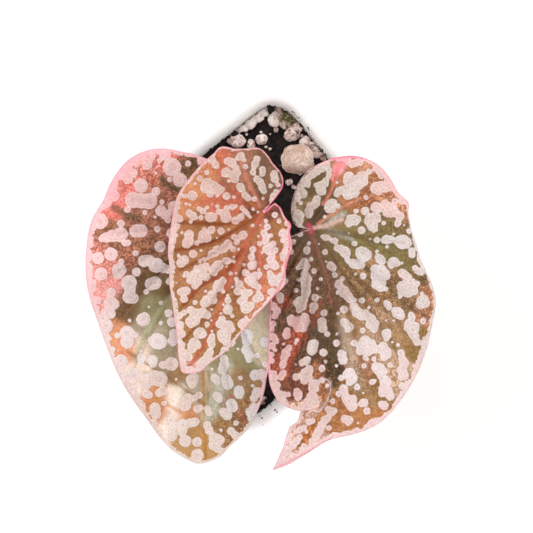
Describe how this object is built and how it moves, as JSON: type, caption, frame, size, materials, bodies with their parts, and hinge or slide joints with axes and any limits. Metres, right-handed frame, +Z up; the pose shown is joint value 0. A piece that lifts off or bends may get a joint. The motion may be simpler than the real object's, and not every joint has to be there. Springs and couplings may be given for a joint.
{
  "type": "potted begonia",
  "caption": "House plant with large heart-shaped, pale-spotted leaf blades on a short cane, growing in a square white pot of dark soil.",
  "frame": {"origin": "middle of the pot's flat underside, on the surface that it stands on", "axes": "+Z up; X and Y along the pot's sides; the leaf tips hang towards -X and -Y"},
  "size_m": [0.1183, 0.1241, 0.1588],
  "materials": {
    "pot_ceramic": "matte white",
    "potting_soil": "loose, dull, near black",
    "pumice": "rough and pitted",
    "stem": "satin, slightly hairy",
    "blade_rose": "satin, veined, pale spots",
    "blade_terracotta": "satin, veined, pale spots",
    "blade_olive": "satin, veined, pale spots"
  },
  "bodies": {
    "root": {"pot": "pot_ceramic", "soil": "potting_soil", "pumice_pebble": "pumice", "cane": "stem", "leaf_left": "blade_rose", "leaf_middle": "blade_terracotta", "leaf_right": "blade_olive"}
  },
  "joints": []
}
